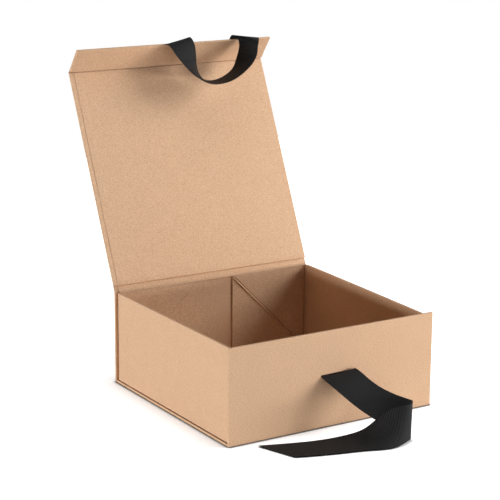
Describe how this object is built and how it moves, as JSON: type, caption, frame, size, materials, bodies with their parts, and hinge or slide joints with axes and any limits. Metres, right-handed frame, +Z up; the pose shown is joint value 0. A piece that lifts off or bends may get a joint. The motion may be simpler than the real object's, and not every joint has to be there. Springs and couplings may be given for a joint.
{
  "type": "gift box",
  "caption": "Fold-flat gift box of kraft-wrapped board with a hinged lid, a magnetic closing flap and ribbon ties on the flap and the front.",
  "frame": {"origin": "middle of the base's underside, on the table, half way between the front face and the spine", "axes": "+X along the front to the viewer's right, +Y from the front to the spine, +Z up"},
  "size_m": [0.25, 0.4288, 0.3574],
  "materials": {
    "greyboard": "matte",
    "kraft_paper": "matte",
    "tape": "matte",
    "steel": "brushed",
    "magnet": "satin",
    "ribbon": "ribbed"
  },
  "bodies": {
    "base": {"base_board": "greyboard", "base_wrap": "kraft_paper", "base_liner": "kraft_paper"},
    "spine": {"spine_board": "greyboard", "spine_wrap": "kraft_paper", "spine_liner": "kraft_paper", "gutter_wrap": "kraft_paper", "gutter_liner": "kraft_paper", "left_wing_tape": "tape", "left_wing_fixed_board": "greyboard", "left_wing_fixed_paper": "kraft_paper", "right_wing_tape": "tape", "right_wing_fixed_board": "greyboard", "right_wing_fixed_paper": "kraft_paper"},
    "left_wall": {"left_wall_board": "greyboard", "left_wall_wrap": "kraft_paper"},
    "right_wall": {"right_wall_board": "greyboard", "right_wall_wrap": "kraft_paper"},
    "left_wing": {"left_wing_fold_board": "greyboard", "left_wing_fold_paper": "kraft_paper"},
    "right_wing": {"right_wing_fold_board": "greyboard", "right_wing_fold_paper": "kraft_paper"},
    "front": {"front_board": "greyboard", "front_wrap": "kraft_paper", "front_liner": "kraft_paper", "front_plates": "steel", "tie_ribbon": "ribbon"},
    "lid": {"lid_board": "greyboard", "lid_wrap": "kraft_paper", "lid_liner": "kraft_paper"},
    "flap": {"flap_board": "greyboard", "flap_wrap": "kraft_paper", "flap_liner": "kraft_paper", "flap_magnets": "magnet", "flap_ribbon_start": "ribbon", "flap_ribbon_end": "ribbon"},
    "ribbon_loop": {"flap_ribbon_loop": "ribbon"}
  },
  "joints": [
    {"name": "spine_fold", "type": "hinge", "parent": "base", "child": "spine", "pos_m": [0, 0.12, 0], "axis": [1, 0, 0], "range_deg": [-90, 0]},
    {"name": "front_fold", "type": "hinge", "parent": "base", "child": "front", "pos_m": [0, -0.12, 0], "axis": [-1, 0, 0], "range_deg": [-90, 0], "deforming": ["tie_ribbon"]},
    {"name": "left_wall_fold", "type": "hinge", "parent": "base", "child": "left_wall", "pos_m": [-0.1214, 0, 0.0034], "axis": [0, -1, 0], "range_deg": [-90, 0]},
    {"name": "right_wall_fold", "type": "hinge", "parent": "base", "child": "right_wall", "pos_m": [0.1214, 0, 0.0034], "axis": [0, 1, 0], "range_deg": [-90, 0]},
    {"name": "left_wing_fold", "type": "hinge", "parent": "spine", "child": "left_wing", "pos_m": [-0.1208, 0.1157, 0.0034], "axis": [-0.7071, 0, -0.7071], "range_deg": [-180, 0]},
    {"name": "right_wing_fold", "type": "hinge", "parent": "spine", "child": "right_wing", "pos_m": [0.1208, 0.1157, 0.0034], "axis": [-0.7071, 0, 0.7071], "range_deg": [-180, 0]},
    {"name": "lid_hinge", "type": "hinge", "parent": "spine", "child": "lid", "pos_m": [0, 0.12154, 0.1054], "axis": [-1, 0, 0], "range_deg": [-114.4, 83], "deforming": ["flap_ribbon_loop"]},
    {"name": "flap_hinge", "type": "hinge", "parent": "lid", "child": "flap", "pos_m": [0, 0.22273, 0.32847], "axis": [1, 0, 0], "range_deg": [-61, 29]},
    {"name": "loop_swing", "type": "hinge", "parent": "flap", "child": "ribbon_loop", "pos_m": [0, 0.20156, 0.35453], "axis": [1, 0, 0], "range_deg": [-115, 84]}
  ],
  "couplings": [
    {"joint": "front_fold", "follows": "spine_fold", "ratio": 1},
    {"joint": "left_wall_fold", "follows": "spine_fold", "ratio": 1},
    {"joint": "right_wall_fold", "follows": "spine_fold", "ratio": 1},
    {"joint": "left_wing_fold", "follows": "spine_fold", "ratio": 2},
    {"joint": "right_wing_fold", "follows": "spine_fold", "ratio": 2},
    {"joint": "loop_swing", "follows": "lid_hinge", "ratio": 1}
  ]
}
